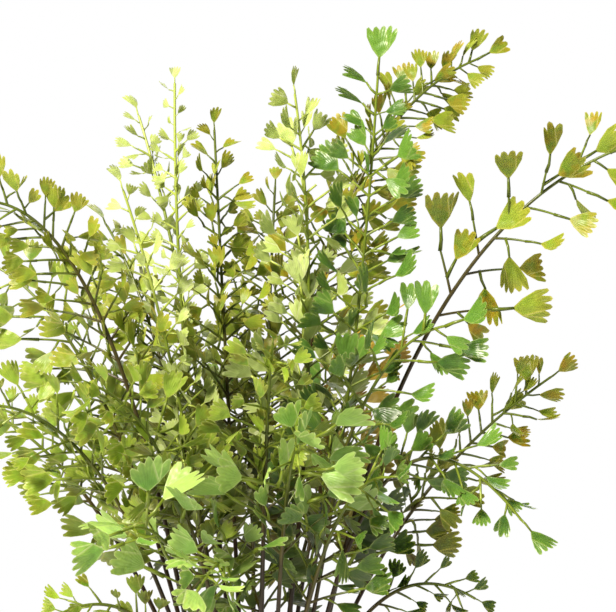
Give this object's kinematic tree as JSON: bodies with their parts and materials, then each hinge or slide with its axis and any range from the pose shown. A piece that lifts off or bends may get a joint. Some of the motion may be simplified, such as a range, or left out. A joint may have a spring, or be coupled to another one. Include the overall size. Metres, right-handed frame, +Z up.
{
  "type": "potted maidenhair fern",
  "caption": "Maidenhair fern in a plain clay pot: wiry dark stipes rise from the soil into arching fronds of small toothed, fan-shaped leaflets.",
  "frame": {"origin": "centre of the pot's underside, the flat ring that it stands on lying in z = 0", "axes": "+Z up along the pot's axis, -Y towards the front of the plant, +X to the right seen from the front"},
  "size_m": [0.4339, 0.3499, 0.5207],
  "materials": {
    "pot_terracotta": "matt, unglazed fired clay",
    "soil": "rough, damp peaty compost",
    "stipe": "smooth and wiry, with a low gloss",
    "leaf_pale": "thin waxy leaf",
    "leaf_lime": "thin waxy leaf",
    "leaf_fresh": "thin waxy leaf",
    "leaf_green": "thin waxy leaf",
    "leaf_olive": "thin waxy leaf",
    "leaf_ochre": "thin waxy leaf"
  },
  "bodies": {
    "root": {"pot": "pot_terracotta", "soil": "soil", "stipe_01": "stipe", "stipe_02": "stipe", "stipe_03": "stipe", "stipe_04": "stipe", "stipe_05": "stipe", "stipe_06": "stipe", "stipe_07": "stipe", "stipe_08": "stipe", "stipe_09": "stipe", "stipe_10": "stipe", "stipe_11": "stipe", "stipe_12": "stipe", "stipe_13": "stipe", "stipe_14": "stipe", "stipe_15": "stipe", "stipe_16": "stipe", "stipe_17": "stipe", "stipe_18": "stipe", "stipe_19": "stipe", "stipe_20": "stipe", "stipe_21": "stipe", "stipe_22": "stipe", "stipe_23": "stipe", "stipe_24": "stipe", "stipe_25": "stipe", "stipe_26": "stipe", "stipe_27": "stipe", "stipe_28": "stipe", "stipe_29": "stipe", "frond_01": "leaf_olive", "frond_02": "leaf_green", "frond_03": "leaf_olive", "frond_04": "leaf_pale", "frond_05": "leaf_pale", "frond_06": "leaf_pale", "frond_07": "leaf_pale", "frond_08": "leaf_olive", "frond_09": "leaf_lime", "frond_10": "leaf_lime", "frond_11": "leaf_lime", "frond_12": "leaf_lime", "frond_13": "leaf_olive", "frond_14": "leaf_green", "frond_15": "leaf_green", "frond_16": "leaf_green", "frond_17": "leaf_lime", "frond_18": "leaf_fresh", "frond_19": "leaf_fresh", "frond_20": "leaf_lime", "frond_21": "leaf_fresh", "frond_22": "leaf_green", "frond_23": "leaf_olive", "frond_24": "leaf_olive", "frond_25": "leaf_ochre", "frond_26": "leaf_ochre", "frond_27": "leaf_olive", "frond_28": "leaf_green", "frond_29": "leaf_green"}
  },
  "joints": []
}
